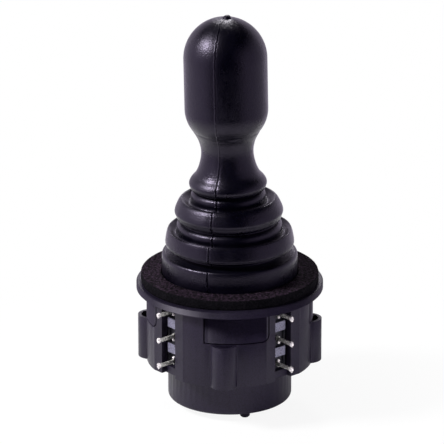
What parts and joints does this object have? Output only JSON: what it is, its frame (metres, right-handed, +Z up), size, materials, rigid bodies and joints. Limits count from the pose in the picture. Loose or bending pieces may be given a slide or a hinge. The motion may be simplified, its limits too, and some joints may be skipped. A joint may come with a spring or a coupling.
{
  "type": "panel-mounted industrial joystick",
  "caption": "Spring-centred two-axis lever with a rubber grip and bellows gaiter over a round switch housing, seated on a foam ring under a panel.",
  "frame": {"origin": "on the lever's axis at the panel seat, which is the top face of the foam ring", "axes": "+Z up the lever at rest; the four switches face +X, +Y, -X and -Y"},
  "size_m": [0.0574, 0.0574, 0.1223],
  "materials": {
    "rubber": "satin black moulded rubber with a fine leathery grain",
    "foam": "dark open-pored sponge rubber",
    "housing_plastic": "matte black moulded plastic",
    "core_plastic": "natural acetal plastic",
    "plunger_plastic": "smooth off-white plastic",
    "switch_plastic": "grey-lilac moulded plastic",
    "tinned": "bright tinned metal",
    "steel": "ground steel",
    "spring_steel": "drawn spring steel",
    "brass": "turned bronze"
  },
  "bodies": {
    "housing": {"upper_housing": "housing_plastic", "lower_housing": "housing_plastic", "base_cap": "housing_plastic", "base_screws": "steel", "gate_plate": "core_plastic", "panel_gasket": "foam", "gaiter_collar": "rubber", "gaiter_lower": "rubber", "gimbal_bushes": "brass", "return_spring": "spring_steel", "switch_case_right": "switch_plastic", "switch_case_back": "switch_plastic", "switch_case_left": "switch_plastic", "switch_case_front": "switch_plastic", "switch_terminals_right": "tinned", "switch_terminals_back": "tinned", "switch_terminals_left": "tinned", "switch_terminals_front": "tinned"},
    "gimbal": {"gimbal_ring": "steel", "gimbal_pins": "steel", "lever_bushes": "brass"},
    "lever": {"lever_shaft": "steel", "pivot_hub": "brass", "lever_pin": "steel", "actuator": "core_plastic", "actuator_clip": "spring_steel", "grip_insert": "core_plastic", "grip_pin": "steel", "grip": "rubber", "gaiter_upper": "rubber"},
    "right_plunger": {"plunger_right": "plunger_plastic"},
    "back_plunger": {"plunger_back": "plunger_plastic"},
    "left_plunger": {"plunger_left": "plunger_plastic"},
    "front_plunger": {"plunger_front": "plunger_plastic"}
  },
  "joints": [
    {"name": "tilt_fore_aft", "type": "hinge", "parent": "housing", "child": "gimbal", "pos_m": [0, 0, 0.002], "axis": [1, 0, 0], "range_deg": [-12, 12], "stiffness_Nm_per_rad": 1.5, "deforming": ["gaiter_lower", "return_spring"]},
    {"name": "tilt_side", "type": "hinge", "parent": "gimbal", "child": "lever", "pos_m": [0, 0, 0.002], "axis": [0, 1, 0], "range_deg": [-12, 12], "stiffness_Nm_per_rad": 1.5, "deforming": ["gaiter_upper"]},
    {"name": "press_right", "type": "slide", "parent": "housing", "child": "right_plunger", "axis": [1, 0, 0], "range_m": [0, 0.0006], "stiffness_N_per_m": 250, "springref_m": -0.002},
    {"name": "press_back", "type": "slide", "parent": "housing", "child": "back_plunger", "axis": [0, 1, 0], "range_m": [0, 0.0006], "stiffness_N_per_m": 250, "springref_m": -0.002},
    {"name": "press_left", "type": "slide", "parent": "housing", "child": "left_plunger", "axis": [-1, 0, 0], "range_m": [0, 0.0006], "stiffness_N_per_m": 250, "springref_m": -0.002},
    {"name": "press_front", "type": "slide", "parent": "housing", "child": "front_plunger", "axis": [0, -1, 0], "range_m": [0, 0.0006], "stiffness_N_per_m": 250, "springref_m": -0.002}
  ]
}
